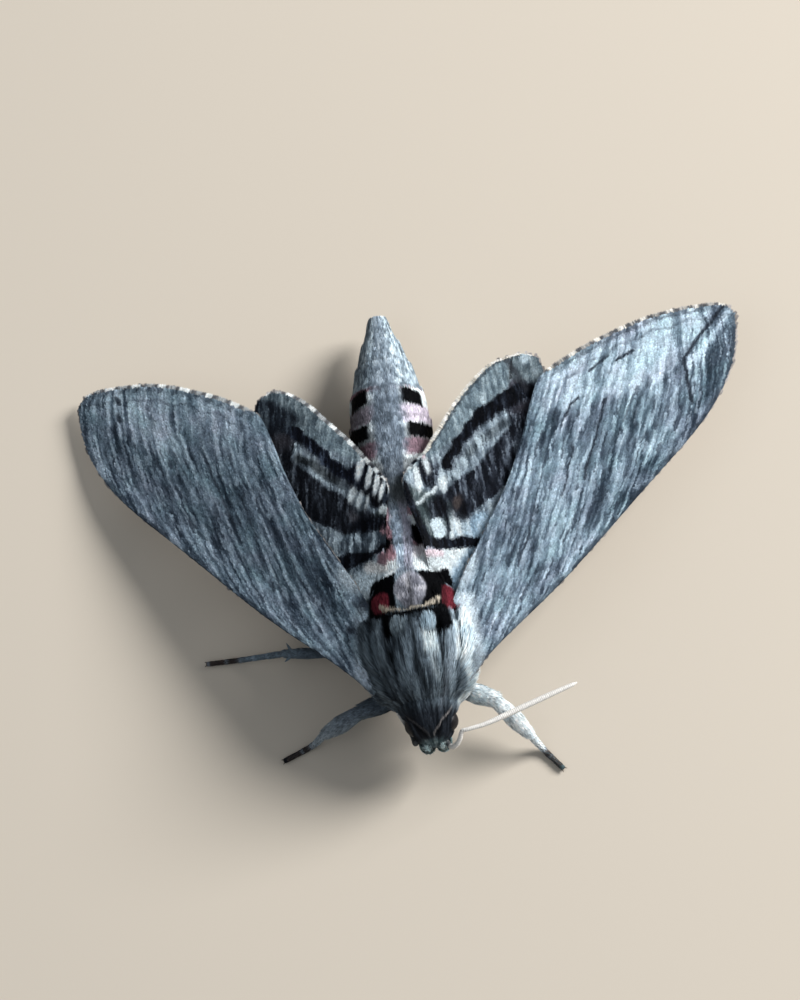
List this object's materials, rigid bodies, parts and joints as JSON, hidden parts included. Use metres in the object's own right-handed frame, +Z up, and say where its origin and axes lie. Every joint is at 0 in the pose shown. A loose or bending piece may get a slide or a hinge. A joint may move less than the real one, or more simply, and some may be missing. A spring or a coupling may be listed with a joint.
{
  "type": "convolvulus hawk moth",
  "caption": "Life-size hawk moth standing with half-open grey wings, banded hindwings, furred body, one feeler held out.",
  "frame": {"origin": "centre of the outline at floor level, on the level of the soles", "axes": "+X towards the moth's left wing tip, -Y towards its head, +Z up"},
  "size_m": [0.0748, 0.0542, 0.0153],
  "materials": {
    "coat": "soft grey hair and scales, matte",
    "eye": "dark faceted gloss",
    "feeler": "cream scales, matte",
    "leg": "pale grey scales, matte",
    "forewing": "blue-grey scales with dark streaks, matte",
    "hindwing": "grey scales with black bands, matte"
  },
  "bodies": {
    "root": {"head": "coat", "eye_left": "eye", "eye_right": "eye", "palp_left": "coat", "palp_right": "coat", "antenna_left": "feeler", "antenna_right": "feeler", "collar": "coat", "thorax": "coat", "tegula_left": "coat", "tegula_right": "coat", "metathorax": "coat", "abdomen_1": "coat", "abdomen_2": "coat", "abdomen_3": "coat", "abdomen_4": "coat", "abdomen_5": "coat", "abdomen_6": "coat", "abdomen_7": "coat", "abdomen_tip": "coat", "forewing_left": "forewing", "forewing_right": "forewing", "hindwing_left": "hindwing", "hindwing_right": "hindwing", "foreleg_left_femur": "leg", "foreleg_left_tibia": "leg", "foreleg_left_tarsus": "leg", "foreleg_right_femur": "leg", "foreleg_right_tibia": "leg", "foreleg_right_tarsus": "leg", "midleg_left_femur": "leg", "midleg_left_tibia": "leg", "midleg_left_tarsus": "leg", "midleg_right_femur": "leg", "midleg_right_tibia": "leg", "midleg_right_tarsus": "leg", "hindleg_left_femur": "leg", "hindleg_left_tibia": "leg", "hindleg_left_tarsus": "leg", "hindleg_right_femur": "leg", "hindleg_right_tibia": "leg", "hindleg_right_tarsus": "leg"}
  },
  "joints": []
}
